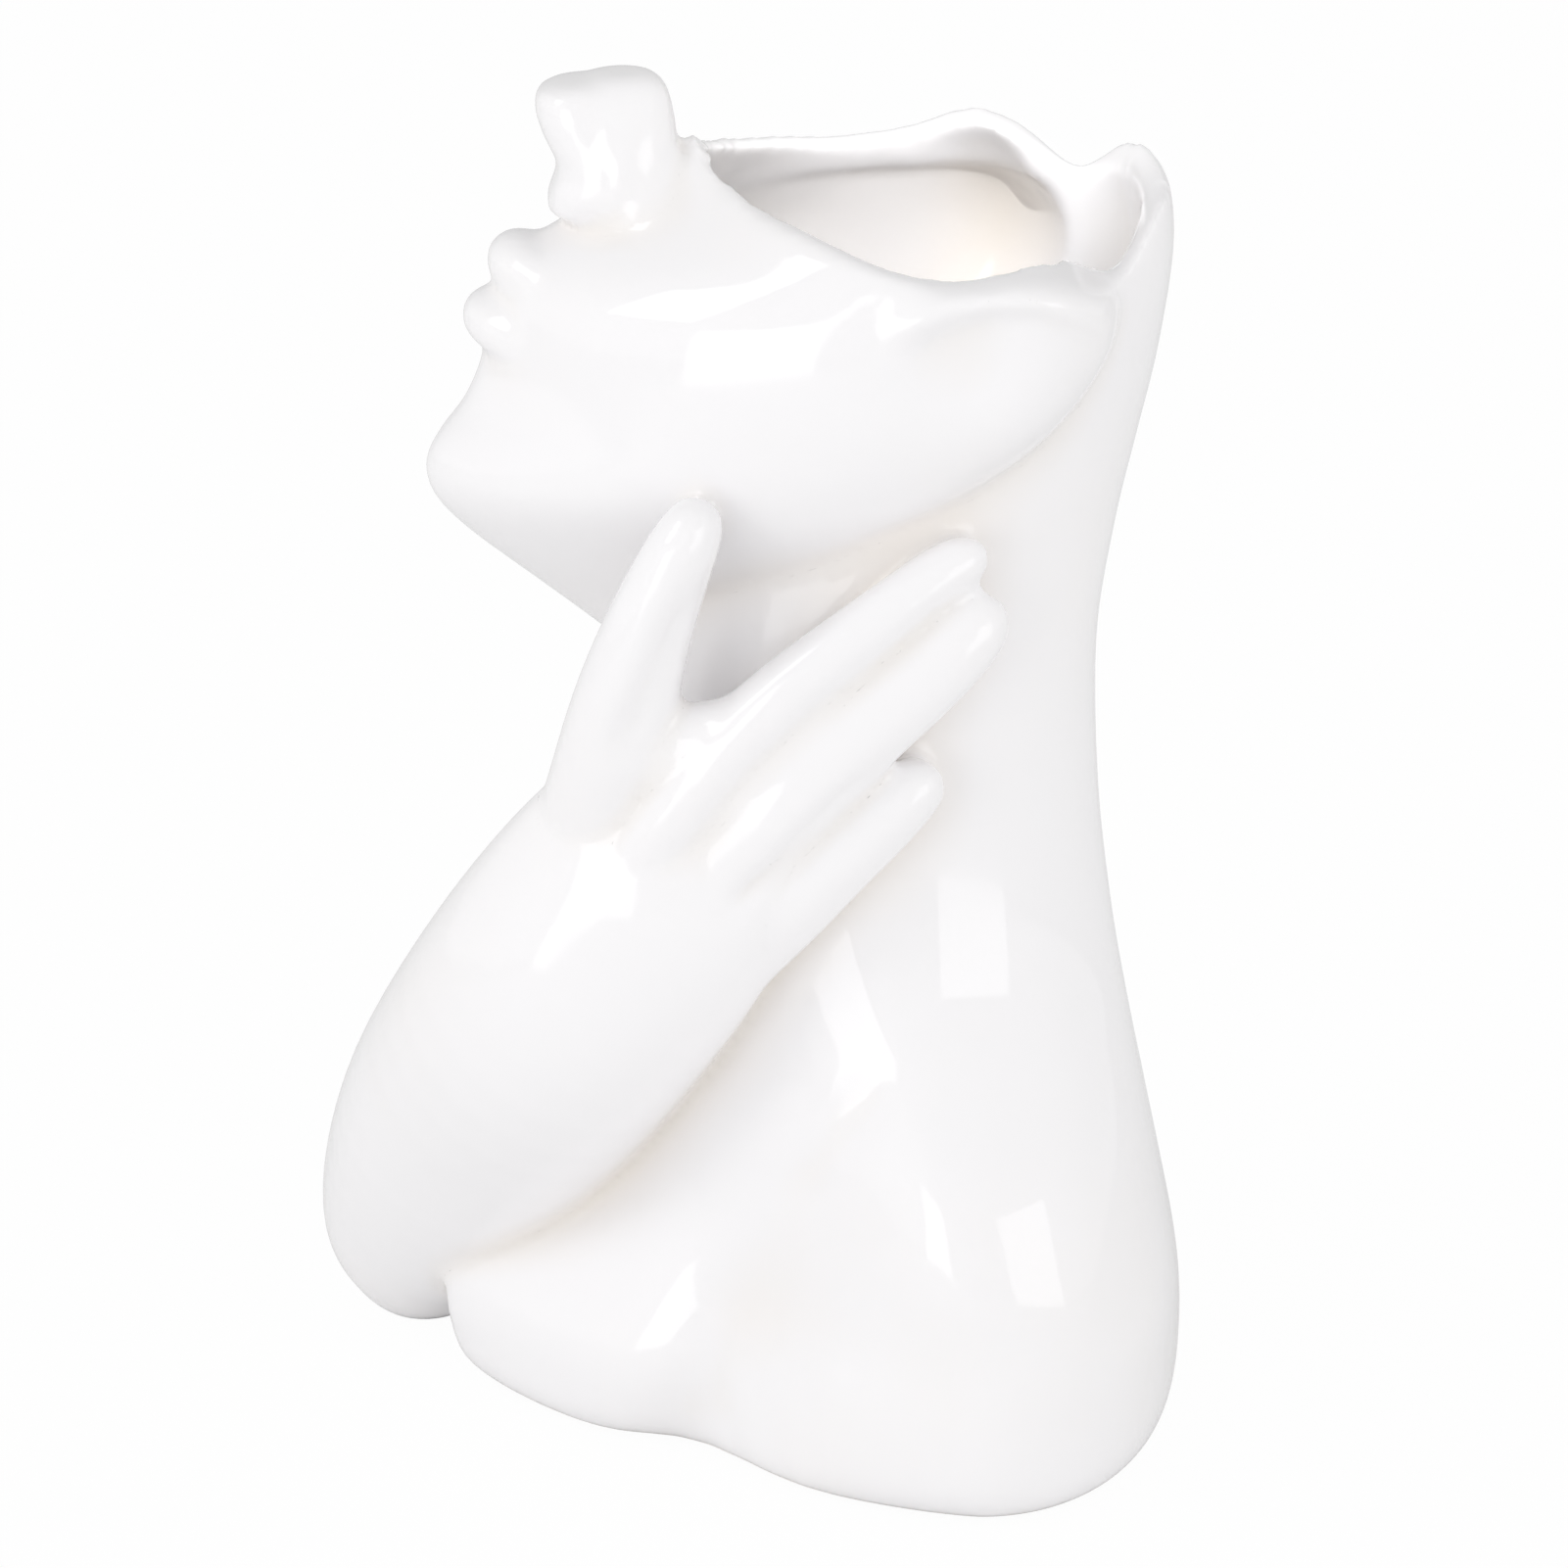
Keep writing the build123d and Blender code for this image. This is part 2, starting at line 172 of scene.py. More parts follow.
# Rise, chin, ear, cheek, place of the widest point, powers that round the face and the back of the jaw
HEAD_SHARES = [
    (0.00, 0.27, 0.14, 0.22, 0.00, 1.8, 2.0),
    (0.09, 0.46, 0.21, 0.34, 0.00, 1.6, 2.0),
    (0.17, 0.64, 0.27, 0.46, 0.02, 1.5, 2.0),
    (0.24, 0.80, 0.32, 0.57, 0.04, 1.5, 2.0),
    (0.29, 0.91, 0.39, 0.66, 0.07, 1.5, 2.1),
    (0.34, 0.995, 0.46, 0.745, 0.11, 1.55, 2.3),
    (0.38, 1.03, 0.55, 0.81, 0.14, 1.6, 2.5),
    (0.42, 1.03, 0.64, 0.865, 0.19, 1.65, 2.8),
    (0.47, 0.98, 0.73, 0.92, 0.25, 1.65, 3.1),
    (0.52, 0.91, 0.81, 0.96, 0.30, 1.65, 3.4),
    (0.59, 0.855, 0.895, 0.995, 0.355, 1.65, 3.8),
    (0.67, 0.825, 0.97, 1.01, 0.405, 1.65, 4.0),
    (0.74, 0.80, 1.00, 1.005, 0.42, 1.6, 4.0),
    (0.80, 0.705, 0.99, 0.985, 0.415, 1.5, 4.0),
    (0.87, 0.50, 0.94, 0.955, 0.40, 1.35, 3.6),
    (0.935, 0.32, 0.87, 0.91, 0.39, 1.25, 3.2),
    (1.00, 0.16, 0.80, 0.85, 0.39, 1.2, 3.0),
    (1.08, 0.02, 0.72, 0.76, 0.39, 1.2, 3.0),
]

# Rim of the mouth from the side: place along the back's reach, height along the rim's height
RIM_SHARES = [
    (-0.90, 1.024),
    (-0.20, 1.024),
    (-0.115, 1.014),
    (-0.03, 0.995),
    (0.085, 0.984),
    (0.215, 0.975),
    (0.33, 0.9755),
    (0.43, 0.983),
    (0.50, 0.991),
    (0.57, 0.995),
    (0.65, 0.988),
    (0.73, 0.972),
    (0.775, 0.9665),
    (0.82, 0.976),
    (0.87, 0.991),
    (0.91, 0.994),
    (0.96, 0.990),
    (1.10, 0.960),
]

# Direction in which the back of the hand faces
HAND_FACING = Vector((-0.25, -1, 0.2))

# Nose: rise, front, back and half width
NOSE_SHARES = [
    (0.10, 0.95, 0.50, 0.74),
    (0.22, 0.955, 0.44, 0.95),
    (0.40, 0.91, 0.42, 0.95),
    (0.58, 0.97, 0.46, 0.86),
    (0.76, 1.01, 0.52, 0.78),
    (0.88, 0.98, 0.56, 0.68),
    (0.925, 0.86, 0.62, 0.48),
]

# Bridge, the wall that climbs from the cheeks to the cut behind the nose: rise, front, back and half width
BRIDGE_SHARES = [
    (0.00, 0.80, 0.10, 1.15),
    (0.22, 0.80, 0.22, 1.22),
    (0.46, 0.80, 0.34, 1.10),
    (0.66, 0.84, 0.36, 0.92),
    (0.84, 0.86, 0.39, 0.76),
    (0.92, 0.80, 0.43, 0.62),
    (0.965, 0.70, 0.49, 0.42),
]

# Routes of the limbs: places along the elbow's reach, the arm's offset and the hand's height, then the
# shares of the half width and the half depth
ARM_SHARES = [
    (-0.981, 0.82, 0.022, 0.40, 0.58),
    (-1.000, 0.75, 0.059, 0.65, 0.79),
    (-0.987, 0.59, 0.128, 0.85, 0.92),
    (-0.844, 0.11, 0.284, 1.00, 1.09),
    (-0.607, -0.45, 0.463, 1.05, 1.21),
    (-0.370, -0.78, 0.606, 1.01, 0.77),
    (-0.204, -0.90, 0.700, 0.85, 0.43),
    (-0.056, -0.94, 0.762, 0.60, 0.36),
    (0.046, -0.95, 0.803, 0.29, 0.22),
]
INDEX_SHARES = [
    (-0.500, -0.83, 0.600, 1.21, 1.21),
    (-0.315, -0.95, 0.694, 1.17, 1.21),
    (-0.148, -1.00, 0.775, 1.07, 1.14),
    (0.037, -1.02, 0.841, 0.97, 1.03),
    (0.222, -1.01, 0.891, 0.90, 0.95),
    (0.389, -0.97, 0.931, 0.84, 0.88),
    (0.519, -0.93, 0.959, 0.78, 0.81),
    (0.598, -0.91, 0.974, 0.59, 0.62),
    (0.633, -0.90, 0.981, 0.17, 0.17),
]
MIDDLE_SHARES = [
    (-0.370, -0.83, 0.550, 1.18, 1.00),
    (-0.185, -0.96, 0.637, 1.21, 1.03),
    (0.000, -1.02, 0.716, 1.18, 1.00),
    (0.157, -1.03, 0.772, 1.15, 0.94),
    (0.306, -1.01, 0.818, 1.12, 0.88),
    (0.463, -0.98, 0.863, 1.06, 0.82),
    (0.583, -0.95, 0.896, 0.88, 0.75),
    (0.652, -0.93, 0.914, 0.59, 0.56),
    (0.685, -0.92, 0.922, 0.15, 0.15),
]
LITTLE_SHARES = [
    (-0.259, -0.74, 0.506, 1.64, 1.21),
    (-0.120, -0.87, 0.566, 1.59, 1.24),
    (0.028, -0.96, 0.617, 1.41, 1.21),
    (0.176, -0.99, 0.666, 1.26, 1.10),
    (0.315, -0.99, 0.706, 1.09, 1.02),
    (0.417, -0.98, 0.736, 0.91, 0.90),
    (0.467, -0.97, 0.751, 0.67, 0.67),
    (0.489, -0.96, 0.758, 0.17, 0.17),
]
THUMB_SHARES = [
    (-0.519, -0.66, 0.637, 1.05, 0.90),
    (-0.472, -0.80, 0.731, 0.94, 0.92),
    (-0.419, -0.92, 0.825, 0.84, 0.88),
    (-0.356, -0.98, 0.903, 0.72, 0.82),
    (-0.281, -1.02, 0.972, 0.61, 0.72),
    (-0.224, -1.03, 1.016, 0.50, 0.58),
    (-0.204, -1.03, 1.038, 0.34, 0.38),
    (-0.196, -1.03, 1.046, 0.10, 0.10),
]

# Plate of flesh between the fingers, and the web between thumb and index finger
PLATE_SHARES = [
    (-0.259, -0.895, 0.675, 2.07, 1.21),
    (-0.074, -0.974, 0.741, 2.24, 1.14),
    (0.093, -1.005, 0.794, 2.17, 0.97),
    (0.259, -1.005, 0.844, 1.90, 0.79),
    (0.417, -0.974, 0.886, 1.55, 0.66),
    (0.537, -0.947, 0.919, 1.12, 0.52),
    (0.602, -0.932, 0.936, 0.52, 0.28),
    (0.620, -0.926, 0.941, 0.17, 0.10),
]
WEB_SHARES = [
    (-0.481, -0.842, 0.731, 1.03, 0.95),
    (-0.380, -0.921, 0.766, 1.12, 0.95),
    (-0.259, -0.968, 0.787, 1.07, 0.86),
    (-0.111, -1.000, 0.806, 0.90, 0.83),
    (0.000, -1.008, 0.825, 0.69, 0.69),
]

# Lips: place along the half width, setback round the face, and radius
LIP_SHARES = [
    (-1.00, 0.60, 0.15),
    (-0.78, 0.34, 0.55),
    (-0.45, 0.10, 0.90),
    (0.00, 0.00, 1.00),
    (0.45, 0.10, 0.90),
    (0.78, 0.34, 0.55),
    (1.00, 0.60, 0.15),
]

# Valley between chest and shoulder, swelling at the ear lobe, roundness of the nose and droop of the lips
VALLEY_DEPTH_SHARE = 0.21
VALLEY_PLACE_SHARE = -0.19
VALLEY_SLOPE_SHARE = 0.36
VALLEY_TOP_SHARE = 0.40
VALLEY_WIDTH_SHARE = 0.175
EAR_DEPTH_SHARE = 0.09
EAR_PLACE_SHARE = 0.76
EAR_LENGTH_SHARE = 0.20
EAR_RISE_SHARE = 0.82
EAR_HEIGHT_SHARE = 0.30
NOSE_POWER_SHARE = 0.8
LIP_DROOP_SHARE = 0.5

# Glaze and biscuit: scales are waves to the metre
GLAZE_WHITE = (0.94, 0.93, 0.94, 1)
# Cream of pooled glaze, also used as painted shade in hollows and creases
GLAZE_CREAM_AND_SHADE = (0.87, 0.80, 0.715, 1)
SPECK_BROWN = (0.30, 0.20, 0.14, 1)
BISCUIT_LIGHT = (0.80, 0.755, 0.69, 1)
BISCUIT_DARK = (0.72, 0.665, 0.59, 1)
CLOUD_SCALE = 16.0
CLOUD_DETAIL = 3.0
THIN_CLOUDS = (0.3, 0.7)
THICK_CLOUDS = (0.45, 0.75)
CLOUDED_POOL_AND_SHADE_SHARE = 0.75
OPEN_CREAM_SHARE = 0.10
WAVE_SCALE = 38.0
WAVE_DETAIL = 1.0
PIT_SCALE = 260.0
PIT_DETAIL = 2.0
PITTED = (0.3, 0.7)
GLAZE_ROUGHNESS = (0.045, 0.085)
GLAZE_IOR = 1.5
GRAIN_SCALE = 2200.0
GRAIN_DETAIL = 4.0
GRAINY = (0.35, 0.65)
SPECK_SCALE = 48.0
SPECK_CHANCE = 0.8
SPECK_SIZE = 0.022
SPECK_SHARE = 0.7
SPECK_ROUGHNESS = 0.4
WAVE_HEIGHT = 0.10 * MM
PIT_HEIGHT = 0.012 * MM
SPECK_DEPTH = 0.15 * MM
BISCUIT_LOW = 1.2 * MM
BISCUIT_HIGH = 1.9 * MM
BISCUIT_RAGGED = 1.0 * MM
BISCUIT_DETAIL = 3.0
BISCUIT_ROUGHNESS = 0.8

# Points round a section, rings along a loft, and the row of the arm's table at the wrist
SECTION_POINTS = 96
LIMB_POINTS = 48
LOFT_RINGS = 72
WRIST_ROW = 5
LIMB_RINGS = 40


def power(value, exponent):
    """Signed power, which turns a circle's sine and cosine into a rounded box's or a leaf's."""
    return copysign(abs(value) ** exponent, value)


def smooth_row(rows, place):
    """Row of a table at a place along its first column, on a smooth curve through the rows."""
    last = len(rows) - 1
    index = 0
    while index < last - 1 and rows[index + 1][0] < place:
        index += 1
    before, start = rows[max(index - 1, 0)], rows[index]
    end, after = rows[index + 1], rows[min(index + 2, last)]
    length = end[0] - start[0]
    share = (place - start[0]) / length
    values = [place]
    for a, b, c, d in zip(before[1:], start[1:], end[1:], after[1:]):
        slope_start = (c - a) / (end[0] - before[0]) * length
        slope_end = (d - b) / (after[0] - start[0]) * length
        square, cube = share ** 2, share ** 3
        values.append(
            (2 * cube - 3 * square + 1) * b + (cube - 2 * square + share) * slope_start
            + (3 * square - 2 * cube) * c + (cube - square) * slope_end
        )
    return values


def along_table(rows, count):
    """Rows at even steps along a whole table, counting the steps by rows."""
    numbered = [(number, *row) for number, row in enumerate(rows)]
    last = len(rows) - 1
    return [smooth_row(numbered, last * step / count)[1:] for step in range(count + 1)]


def valley(x, z):
    """Share that the valley between chest and shoulder takes from the half width."""
    fade = max(0, 1 - (z / (VALLEY_TOP_SHARE * COLUMN_HEIGHT)) ** 2)
    centre = VALLEY_PLACE_SHARE * BACK_REACH + VALLEY_SLOPE_SHARE * z
    offset = (x - centre) / (VALLEY_WIDTH_SHARE * SHOULDER_REACH)
    return 1 - VALLEY_DEPTH_SHARE * fade ** 2 * exp(-offset * offset)


def column_outline(row, inset=0):
    """Height and outline of one section of the column, drawn in by inset."""
    height, front, back, width, middle, front_power, back_power = row
    z = height * COLUMN_HEIGHT
    x_middle = middle * BACK_REACH
    points = []
    for step in range(SECTION_POINTS):
        angle = 2 * pi * step / SECTION_POINTS
        exponent = 2 / (back_power if cos(angle) > 0 else front_power)
        reach = back * BACK_REACH - x_middle if cos(angle) > 0 else x_middle + front * CHEST_REACH
        x = x_middle + (reach - inset) * power(cos(angle), exponent)
        y = (width * SHOULDER_REACH - inset) * power(sin(angle), exponent)
        points.append((x, y * valley(x, z)))
    return z, points


def ear_lobe(x, rise):
    """Share of the half width to which the ear lobe swells the side of the head."""
    along = (x / EAR_REACH - EAR_PLACE_SHARE) / EAR_LENGTH_SHARE
    up = (rise - EAR_RISE_SHARE) / EAR_HEIGHT_SHARE
    return 1 + EAR_DEPTH_SHARE * exp(-along * along - up * up)


def head_outline(row, inset=0):
    """Height and outline of one section of the head, drawn in by inset."""
    rise, chin, ear, cheek, middle, front_power, back_power = row
    z = JAW_START_HEIGHT + rise * HEAD_RISE
    x_middle = middle * EAR_REACH
    points = []
    for step in range(SECTION_POINTS):
        angle = 2 * pi * step / SECTION_POINTS
        exponent = 2 / (back_power if cos(angle) > 0 else front_power)
        reach = ear * EAR_REACH - x_middle if cos(angle) > 0 else x_middle + chin * CHIN_REACH
        x = x_middle + (reach - inset) * power(cos(angle), exponent)
        y = (cheek * CHEEK_REACH - inset) * power(sin(angle), exponent)
        points.append((x, y * ear_lobe(x, rise)))
    return z, points


def limb_rings(shares, half_width, half_depth, growth=0):
    """Elliptic rings square to a limb's route, which growth makes wider."""
    rows = along_table(shares, LIMB_RINGS)
    route = [Vector((x * ELBOW_REACH, y * ARM_OFFSET, z * HAND_HEIGHT)) for x, y, z, _, _ in rows]
    rings = []
    for place, (point, row) in enumerate(zip(route, rows)):
        before = route[max(place - 1, 0)]
        after = route[min(place + 1, len(route) - 1)]
        along = (after - before).normalized()
        across = along.cross(HAND_FACING).normalized()
        outward = along.cross(across)
        ring = []
        for step in range(LIMB_POINTS):
            angle = 2 * pi * step / LIMB_POINTS
            ring.append(
                point
                + across * cos(angle) * (row[3] * half_width + growth)
                + outward * sin(angle) * (row[4] * half_depth + growth)
            )
        rings.append(ring)
    return rings


def lip_rings(height, setback, radius, growth=0):
    """Rings of one lip, a spindle bent round the front of the face."""
    rings = []
    for side, back, size in along_table(LIP_SHARES, LIMB_RINGS):
        x = back * LIP_HALF_WIDTH + setback - MOUTH_REACH
        ring = []
        for step in range(LIMB_POINTS):
            angle = 2 * pi * step / LIMB_POINTS
            ring.append(Vector((
                x + (size * radius + growth) * cos(angle),
                side * LIP_HALF_WIDTH,
                height - LIP_DROOP_SHARE * back * LIP_HALF_WIDTH + (size * radius + growth) * sin(angle),
            )))
        rings.append(ring)
    return rings


def nose_rings(shares, growth=0):
    """Rings of the nose or the bridge, level sections up to the cut."""
    rings = []
    for rise, front, back, width in along_table(shares, LIMB_RINGS):
        x_front = -front * NOSE_REACH
        half_length = (front - back) * NOSE_REACH / 2
        z = NOSE_BASE_HEIGHT + rise * NOSE_RISE
        ring = []
        for step in range(LIMB_POINTS):
            angle = 2 * pi * step / LIMB_POINTS
            x = x_front + half_length + (half_length + growth) * power(cos(angle), NOSE_POWER_SHARE)
            y = (width * NOSE_HALF_WIDTH + growth) * power(sin(angle), NOSE_POWER_SHARE)
            ring.append(Vector((x, y, z)))
        rings.append(ring)
    return rings


def level_rings(outlines):
    """Rings of points from level outlines."""
    return [[Vector((x, y, z)) for x, y in points] for z, points in outlines]


def add_loft(form, rings):
    """Adds a closed shell through the rings to a form: a circle, moved and extruded ring by ring."""
    verts = bmesh.ops.create_circle(form, cap_ends=True, segments=len(rings[0]), radius=1)["verts"]
    place = {vert: number for number, vert in enumerate(verts)}
    for vert, point in zip(verts, rings[0]):
        vert.co = point
    edges = [edge for edge in form.edges if edge.verts[0] in place and edge.verts[1] in place]
    for ring in rings[1:]:
        extruded = bmesh.ops.extrude_edge_only(form, edges=edges)["geom"]
        fresh = [part for part in extruded if isinstance(part, bmesh.types.BMVert)]
        edges = [part for part in extruded if isinstance(part, bmesh.types.BMEdge)]
        moved = {}
        for vert in fresh:
            for edge in vert.link_edges:
                below = edge.other_vert(vert)
                if below in place:
                    moved[vert] = place[below]
        for vert, number in moved.items():
            vert.co = ring[number]
        edges = [edge for edge in edges if edge.verts[0] in moved and edge.verts[1] in moved]
        place = moved
    bmesh.ops.contextual_create(form, geom=edges)
    bmesh.ops.recalc_face_normals(form, faces=form.faces)


def as_object(name, form):
    """Object that holds a finished form."""
    mesh = bpy.data.meshes.new(name)
    form.to_mesh(mesh)
    form.free()
    made = bpy.data.objects.new(name, mesh)
    bpy.context.scene.collection.objects.link(made)
    return made


def lofts_object(name, *all_rings):
    """Object of several closed lofts that may run into each other."""
    form = bmesh.new()
    for rings in all_rings:
        add_loft(form, rings)
    return as_object(name, form)


def apply_modifiers(made):
    """Turns an object's modifiers into its mesh."""
    bpy.context.view_layer.update()
    graph = bpy.context.evaluated_depsgraph_get()
    mesh = bpy.data.meshes.new_from_object(made.evaluated_get(graph))
    made.modifiers.clear()
    made.data = mesh


def remesh(made, voxel):
    """Fuses an object's shells into one even skin."""
    modifier = made.modifiers.new("skin", "REMESH")
    modifier.mode = "VOXEL"
    modifier.voxel_size = voxel
    modifier.use_smooth_shade = True
    apply_modifiers(made)


def relax(made, rounds, group=""):
    """Rounds an object's creases and edges, as running glaze does."""
    modifier = made.modifiers.new("glaze", "SMOOTH")
    modifier.factor = SMOOTHING_SHARE
    modifier.iterations = rounds
    modifier.vertex_group = group
    apply_modifiers(made)


def combine(made, other, operation):
    """Cuts or adds another object, and takes that object away."""
    modifier = made.modifiers.new("cut", "BOOLEAN")
    modifier.operation = operation
    modifier.solver = "MANIFOLD"
    modifier.object = other
    apply_modifiers(made)


def delete(*objects):
    """Removes helper objects."""
    for other in objects:
        bpy.data.objects.remove(other)


def coordinates(made):
    """All vertex places of an object, one row each."""
    places = numpy.empty(len(made.data.vertices) * 3, numpy.float32)
    made.data.vertices.foreach_get("co", places)
    return places.reshape(-1, 3)


def move_vertices(made, places):
    """Puts an object's vertices at new places."""
    made.data.vertices.foreach_set("co", places.astype(numpy.float32).ravel())
    made.data.update()


def rim_line(count):
    """Points of the rim seen from the side."""
    rows = along_table(RIM_SHARES, count)
    return [(x * BACK_REACH, z * RIM_HEIGHT + RIM_ROUNDING) for x, z in rows]


def near_dip(x, y):
    """How far the rim dips at a place: most at the near ear, not at all on the far side."""
    start = numpy.clip((x - NEAR_DROP_X[0]) / (NEAR_DROP_X[1] - NEAR_DROP_X[0]), 0, 1)
    end = numpy.clip((NEAR_DROP_X[3] - x) / (NEAR_DROP_X[3] - NEAR_DROP_X[2]), 0, 1)
    ease = start ** 2 * (3 - 2 * start) * end ** 2 * (3 - 2 * end)
    return NEAR_DROP * ease * (CHEEK_REACH - y) / (2 * CHEEK_REACH)


def above_rim():
    """Block of everything above the rim line, which the mouth leaves open."""
    side = CHEEK_REACH * 2
    top = RIM_HEIGHT * RIM_BLOCK_SHARE
    form = bmesh.new()
    line = rim_line(LOFT_RINGS)
    outline = [(line[0][0], top)] + line + [(line[-1][0], top)]
    verts = bmesh.ops.create_circle(form, cap_ends=True, segments=len(outline), radius=1)["verts"]
    for vert, (x, z) in zip(verts, outline):
        vert.co = (x, -side, z - near_dip(x, -side))
    extruded = bmesh.ops.extrude_face_region(form, geom=form.faces[:])["geom"]
    fresh = [part for part in extruded if isinstance(part, bmesh.types.BMVert)]
    for vert in fresh:
        vert.co.z += near_dip(vert.co.x, -side) - near_dip(vert.co.x, side)
    bmesh.ops.translate(form, verts=fresh, vec=(0, 2 * side, 0))
    bmesh.ops.triangulate(form, faces=form.faces[:])
    bmesh.ops.recalc_face_normals(form, faces=form.faces[:])
    return as_object("above_rim", form)


def facing_aside(made, y):
    """Share, 0 to 1, to which each vertex faces away from the middle plane."""
    return numpy.clip(OUTWARD_STEEPNESS * skin_normals(made)[:, 1] * numpy.sign(y), 0, 1)


def dish_ears(made):
    """Raises a ridge round each ear lobe and dishes the lobe inside it."""
    places = coordinates(made)
    x, y, z = places[:, 0], places[:, 1], places[:, 2]
    across = (x - EAR_CENTRE_X) / EAR_HALF_LENGTH
    up = (z - EAR_CENTRE_Z) / EAR_HALF_HEIGHT
    ring = numpy.exp(-((numpy.hypot(across, up) - 1) / EAR_RIDGE_WIDTH) ** 2)
    fade = -EAR_FADE_STEEPNESS * (up + EAR_FADE_SLANT_SHARE * across)
    ring *= 1 / (1 + numpy.exp(numpy.clip(fade, -EXPONENT_LIMIT, EXPONENT_LIMIT)))
    dish = numpy.exp(-((x - EAR_DISH_X) / EAR_DISH_LENGTH) ** 2 - ((z - EAR_DISH_Z) / EAR_DISH_HEIGHT) ** 2)
    side = numpy.clip((numpy.abs(y) - EAR_INNER) / (EAR_INNER / 2), 0, 1) * (z > JAW_START_HEIGHT)
    side *= facing_aside(made, y)
    places[:, 1] += numpy.sign(y) * side * (EAR_RIDGE * ring - EAR_DISH * dish)
    move_vertices(made, places)


def skin_normals(made):
    """All vertex normals of an object, one row each."""
    normals = numpy.empty(len(made.data.vertices) * 3, numpy.float32)
    made.data.vertex_normals.foreach_get("vector", normals)
    return normals.reshape(-1, 3)


def draw(made, strokes):
    """Presses creases into the sides of an object and raises ridges on them."""
    places = coordinates(made)
    normals = skin_normals(made)
    outward = facing_aside(made, places[:, 1])
    moves = numpy.zeros(len(places))
    for depth, width, inner, both, line in strokes:
        points = numpy.array(line) * MM
        reach = inner * MM
        side = numpy.abs(places[:, 1]) > reach if both else places[:, 1] < -reach
        lengths = numpy.hypot(*(points[1:] - points[:-1]).T)
        nearest = numpy.full(len(places), numpy.inf)
        travel = numpy.zeros(len(places))
        done = 0
        for start, end, length in zip(points, points[1:], lengths):
            offset = places[:, [0, 2]] - start
            share = numpy.clip(offset @ (end - start) / length ** 2, 0, 1)
            distance = numpy.linalg.norm(offset - share[:, None] * (end - start), axis=1)
            closer = distance < nearest
            nearest[closer] = distance[closer]
            travel[closer] = (done + share * length)[closer]
            done += length
        along = travel / done
        taper = numpy.clip(TAPER_STEEPNESS * along, 0, 1) * numpy.clip(TAPER_STEEPNESS * (1 - along), 0, 1)
        moves += depth * MM * numpy.exp(-(nearest / (width * MM)) ** 2) * taper * side * outward
    move_vertices(made, places - normals * moves[:, None])


def group(made, name, chosen):
    """Vertex group of the chosen vertices."""
    made.vertex_groups.new(name=name).add(numpy.flatnonzero(chosen).tolist(), 1, "REPLACE")


def column_object(name, growth):
    """Solid form of the shoulders and the neck, made wider by growth."""
    return lofts_object(
        name, level_rings([column_outline(row, -growth) for row in along_table(COLUMN_SHARES, LOFT_RINGS)])
    )


def head_object(name, growth):
    """Solid form of the head with its lips, made wider by growth."""
    made = lofts_object(
        name,
        level_rings([head_outline(row, -growth) for row in along_table(HEAD_SHARES, LOFT_RINGS)]),
        lip_rings(MOUTH_HEIGHT + UPPER_LIP_RADIUS, UPPER_LIP_SETBACK, UPPER_LIP_RADIUS, growth),
        lip_rings(MOUTH_HEIGHT - LOWER_LIP_RADIUS, 0, LOWER_LIP_RADIUS, growth),
    )
    remesh(made, FORM_VOXEL)
    return made


def slab(name, low, high):
    """Wide block between two heights."""
    form = bmesh.new()
    bmesh.ops.create_cube(form, size=1)
    bmesh.ops.scale(form, verts=form.verts, vec=(4 * BACK_REACH, 4 * BACK_REACH, high - low))
    bmesh.ops.translate(form, verts=form.verts, vec=(0, 0, (low + high) / 2))
    return as_object(name, form)


def hollow():
    """Inside of the vase: the column's and the head's hollows run together, with an undercut at the rim."""
    column = []
    for row in along_table(COLUMN_SHARES, LOFT_RINGS):
        z, points = column_outline(row, COLUMN_WALL)
        column.append((FLOOR_THICKNESS + z * (1 - FLOOR_THICKNESS / COLUMN_HEIGHT), points))
    lower, upper = [], []
    # The lower hollow is moved up at the jaw and down at the rim, so that the wall keeps its thickness there
    for row in along_table(HEAD_SHARES, LOFT_RINGS):
        if HOLLOW_START_SHARE < row[0] < UNDERCUT_SHARE:
            z, points = head_outline(row, HEAD_WALL - UNDERCUT)
            lower.append((z + HEAD_WALL * (1 - 2 * row[0]), points))
        if row[0] > MOUTH_START_SHARE:
            upper.append(head_outline(row, MOUTH_BAND))
    made = lofts_object("hollow", level_rings(column), level_rings(lower), level_rings(upper))
    remesh(made, HOLLOW_VOXEL)
    relax(made, HOLLOW_SMOOTHING)
    return made


